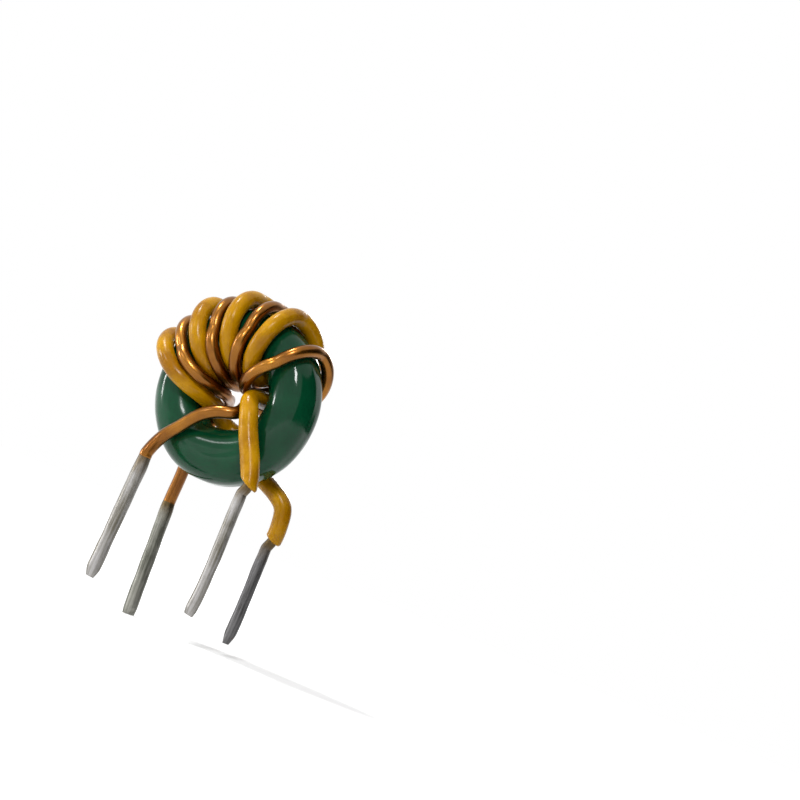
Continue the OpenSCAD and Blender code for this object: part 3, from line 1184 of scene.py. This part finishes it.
@dataclass
class Studio:
    """Floor, lights and camera.

    The camera's angle, distance and focal length were worked out from the ring's outline in the
    photograph.

    Attributes:
        ring: Ring that the camera and the lamps are aimed at.
        azimuth: Camera's turn to the right of the ring's front, in degrees.
        elevation: Its height over the ring, in degrees.
        roll: Its roll, in degrees.
        distance: Its distance from the ring's middle.
        focal_px: Its focal length in pixels.
        image_px: Side of the picture in pixels.
        ring_px: Pixel at which the ring's middle lies.
        sensor_mm: Width of its sensor.
        clip_m: Nearest and farthest distances that it sees, in metres.
        floor_half: Half of the floor's side.
        floor_tone: Colour of the floor.
        fill_near: Distance from the object up to which the floor glows least, so that its shadow shows.
        fill_far: Distance from which it glows most.
        fill_glows: Those two strengths, for rays that show the background.
        card_turns: Directions in which the dark card begins and ends, in degrees.
        card_far: Its distance from the ring.
        card_high: Its height.
        card_steps: Its steps.
        card_tone: Its colour.
        ambient: Strength of the light from all round that falls on the object.
        lamps: The lamps.
    """

    ring: RingCore
    azimuth: float = 32.4
    elevation: float = -2.8
    roll: float = 22.3
    distance: float = 128.0
    focal_px: float = 2355.0
    image_px: float = 800.0
    ring_px: tuple[float, float] = (237.6, 397.8)
    sensor_mm: float = 36.0
    clip_m: tuple[float, float] = (0.005, 10.0)
    floor_half: float = 600.0
    floor_tone: str = "#efefef"
    fill_near: float = 20.0
    fill_far: float = 140.0
    fill_glows: tuple[float, float] = (0.42, 0.86)
    card_turns: tuple[float, float] = (-38.0, 62.0)
    card_far: float = 200.0
    card_high: float = 240.0
    card_steps: int = 24
    card_tone: str = "#0c0c0c"
    ambient: float = 0.18
    lamps: Sequence[Lamp] = (
        Lamp("window", (-0.91, -0.42, 0.02), 260.0, (20.0, 70.0), 0.2),
        Lamp("front_panel", (-0.5, -0.76, 0.38), 300.0, (80.0, 30.0), 0.1),
        Lamp("ceiling_light", (0.26, -0.76, 0.58), 260.0, (34.0, 58.0), 0.28),
        Lamp("top_light", (-0.42, -0.27, 0.87), 260.0, (36.0, 36.0), 0.38),
        Lamp("back_light", (-0.25, 0.9, 0.35), 260.0, (60.0, 60.0), 0.14),
    )

    def camera(self) -> None:
        """Set up the camera."""
        az, el, roll = (math.radians(a) for a in (self.azimuth, self.elevation, self.roll))
        back = Vector((math.sin(az) * math.cos(el), -math.cos(az) * math.cos(el), math.sin(el)))
        level = Vector((math.cos(az), math.sin(az), 0.0))
        right = math.cos(roll) * level + math.sin(roll) * back.cross(level)
        aimed = Matrix((right, back.cross(right), back)).transposed()
        half = self.image_px / 2
        spot = Vector((self.ring_px[0] - half, half - self.ring_px[1], -self.focal_px)).normalized()
        turned = aimed @ spot.rotation_difference(Vector((0.0, 0.0, -1.0))).to_matrix()
        data = bpy.data.cameras.new("camera")
        data.sensor_width = self.sensor_mm
        data.lens = self.sensor_mm * self.focal_px / self.image_px
        data.clip_start, data.clip_end = self.clip_m
        camera = bpy.data.objects.new("camera", data)
        camera.matrix_world = turned.to_4x4()
        camera.location = (Vector(self.ring.centre) + back * self.distance) * MM
        bpy.context.scene.collection.objects.link(camera)
        bpy.context.scene.camera = camera

    def floor(self, level: float) -> None:
        """Lay a pale floor that is white to the camera and keeps the shadow.

        Args:
            level: Height of the floor.
        """
        half = self.floor_half
        points = np.array([(x * half, y * half, level) for x, y in ((-1, -1), (1, -1), (1, 1), (-1, 1))])
        floor = mesh_piece("floor", points, [(0, 1, 2, 3)], Surface.FACETED)
        material, tree = new_material("paper_white_matt")
        matt = add_node(tree, "BsdfDiffuse", {"Color": linear(self.floor_tone)})
        spot = add_node(tree, "TexCoord").outputs["Object"]
        away = add_node(tree, "VectorMath", {0: spot}, {"operation": "LENGTH"})
        fill = add_node(tree, "MapRange", {
            "Value": away.outputs["Value"], "From Min": self.fill_near * MM, "From Max": self.fill_far * MM,
            "To Min": self.fill_glows[0], "To Max": self.fill_glows[1]})
        lift = add_node(tree, "Math", {0: self.seen(tree), 1: fill}, {"operation": "MULTIPLY"})
        glow = add_node(tree, "Emission", {"Color": linear(WHITE), "Strength": lift})
        both = add_node(tree, "AddShader", {0: matt, 1: glow})
        add_node(tree, "OutputMaterial", {"Surface": both})
        floor.data.materials.append(material)

    def dark_card(self, level: float) -> None:
        """Stand a curved black card to the right, shown by reflections alone, for the dark side of metal.

        Args:
            level: Height of the floor.
        """
        turns = np.radians(np.linspace(*self.card_turns, self.card_steps + 1))
        foot = np.stack([np.cos(turns), np.sin(turns), 0 * turns], axis=1) * self.card_far
        foot += np.array((*self.ring.centre[:2], level))
        points = np.concatenate([foot, foot + np.array((0, 0, self.card_high))])
        faces = [(i, i + 1, i + 2 + self.card_steps, i + 1 + self.card_steps) for i in range(self.card_steps)]
        card = mesh_piece("dark_card", points, faces, Surface.SMOOTH)
        material, tree = new_material("card_black_matt")
        matt = add_node(tree, "BsdfDiffuse", {"Color": linear(self.card_tone)})
        add_node(tree, "OutputMaterial", {"Surface": matt})
        card.data.materials.append(material)
        card.visible_camera = card.visible_diffuse = card.visible_shadow = False

    def seen(self, tree: NodeTree) -> NodeSocket:
        """Add nodes that pick out the rays that show the background.

        Args:
            tree: Node tree that takes them.

        Returns:
            A socket that is one for camera, glossy and transmission rays.
        """
        ray = add_node(tree, "LightPath").outputs
        either = add_node(tree, "Math", {0: ray["Is Camera Ray"], 1: ray["Is Transmission Ray"]},
                          {"operation": "MAXIMUM"})
        any_of = add_node(tree, "Math", {0: either, 1: ray["Is Glossy Ray"]}, {"operation": "MAXIMUM"})
        return any_of.outputs["Value"]

    def world(self) -> None:
        """Surround the object with soft light, white where the background shows."""
        world = bpy.data.worlds.new("white_studio")
        world.use_nodes = True
        tree = world.node_tree
        tree.nodes.clear()
        strength = add_node(tree, "MapRange", {
            "Value": self.seen(tree), "To Min": self.ambient, "To Max": 1.0})
        light = add_node(tree, "Background", {"Color": linear(WHITE), "Strength": strength})
        add_node(tree, "OutputWorld", {"Surface": light})
        bpy.context.scene.world = world

    def build(self, level: float) -> None:
        """Set the whole studio.

        Args:
            level: Height of the floor.
        """
        self.camera()
        self.floor(level)
        self.dark_card(level)
        self.world()
        for lamp in self.lamps:
            lamp.hang(self.ring.centre)
        bpy.context.scene.view_settings.view_transform = "Standard"
        LOG.info("studio: camera, floor, dark card and %d lamps", len(self.lamps))


def main() -> None:
    """Build every piece, dress it and set the studio."""
    logging.basicConfig(level=logging.INFO, format="%(name)s: %(message)s")
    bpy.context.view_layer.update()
    ring = RingCore()
    ring.build(EpoxyCoat())

    # The leads as they were bent by hand: x, z and depth of each place, in the shares that Lead explains.
    front_copper = Lead(
        "front_copper_solder", Face.FRONT,
        ((0.5, -0.4, 0.66), (0.13, -0.54, 0.93), (-0.3, -0.8, 1)),
        ((-0.31, -0.54, 1), (-0.46, -0.71, 1.02)), lean=(0.2, -0.16))
    rear_copper = Lead(
        "rear_copper_solder", Face.REAR,
        ((-0.74, -0.2, 0.95),),
        ((-0.47, -0.38, 1), (-0.55, -0.7, 1), (-0.57, -1.02, 1.08)), lean=(-0.18, 0.11))
    front_yellow = Lead(
        "front_yellow_solder", Face.FRONT,
        ((0.81, 0.03, 0.74),),
        ((0.46, -0.13, 0.96), (0.55, -0.32, 1), (0.74, -0.65, 1.03)), lean=(0.0, -0.22), bow=0.12)
    rear_yellow = Lead(
        "rear_yellow_solder", Face.REAR,
        ((-0.48, -0.74, 0.82), (0.02, -0.94, 1)),
        ((0.31, -0.66, 1), (0.66, -0.82, 1), (0.81, -0.935, 1.05), (0.85, -1.13, 1.08)),
        lean=(0.0, -0.1), bow=0.06)
    nested = NestedWires(ring)
    copper = Winding(
        ring, nested.enamel_r, nested.copper_place(), 2.24, (1.06, 0.21, -0.36, -0.96),
        front_copper, rear_copper, ((0, 0, 0.25),))
    yellow = Winding(
        ring, nested.insulation_r, nested.yellow_place(), 1.73, (0.52, -0.09, -0.62, -1.25),
        front_yellow, rear_yellow, ((0.23, 0, 0.7), (0, 0, 0.2)))
    copper_wire, yellow_wire = CopperWire(copper), YellowWire(yellow)
    copper_wire.build(EnamelledCopper())
    yellow_wire.build(ExtrudedInsulation(), DrawnCopper())

    tin = DippedTin().material()
    # Darker olive copy of the tin for the rear copper lead: painted shade, for the shade this lead stands in
    # behind the ring.
    shaded_olive_tin = DippedTin("tin_solder_painted_shade_olive", "#92918a", "#585950").material()
    # Darker grey copy of the tin for the rear yellow lead: painted shade, for the shade this lead stands in
    # behind the ring.
    shaded_grey_tin = DippedTin("tin_solder_painted_shade_grey", "#757475", "#444343").material()
    copper_way, copper_r = copper.path(), copper_wire.strip_d / 2
    yellow_way, yellow_r = yellow.path(), yellow_wire.conductor_d / 2
    TinnedEnd(front_copper, copper_way, copper_r, 21, snip_l=0.55, snip_turn=120.0).build(tin)
    TinnedEnd(rear_copper, copper_way[::-1], copper_r, 34, snip_turn=25.0).build(shaded_olive_tin)
    TinnedEnd(front_yellow, yellow_way, yellow_r, 47, creep=0.9, snip_turn=100.0).build(tin)
    TinnedEnd(rear_yellow, yellow_way[::-1], yellow_r, 60, creep=0.9, snip_l=0.65,
              snip_share=0.35).build(shaded_grey_tin)

    Studio(ring).build(min(lead.low_z for lead in (front_copper, rear_copper, front_yellow, rear_yellow)))


if __name__ == "__main__":
    main()
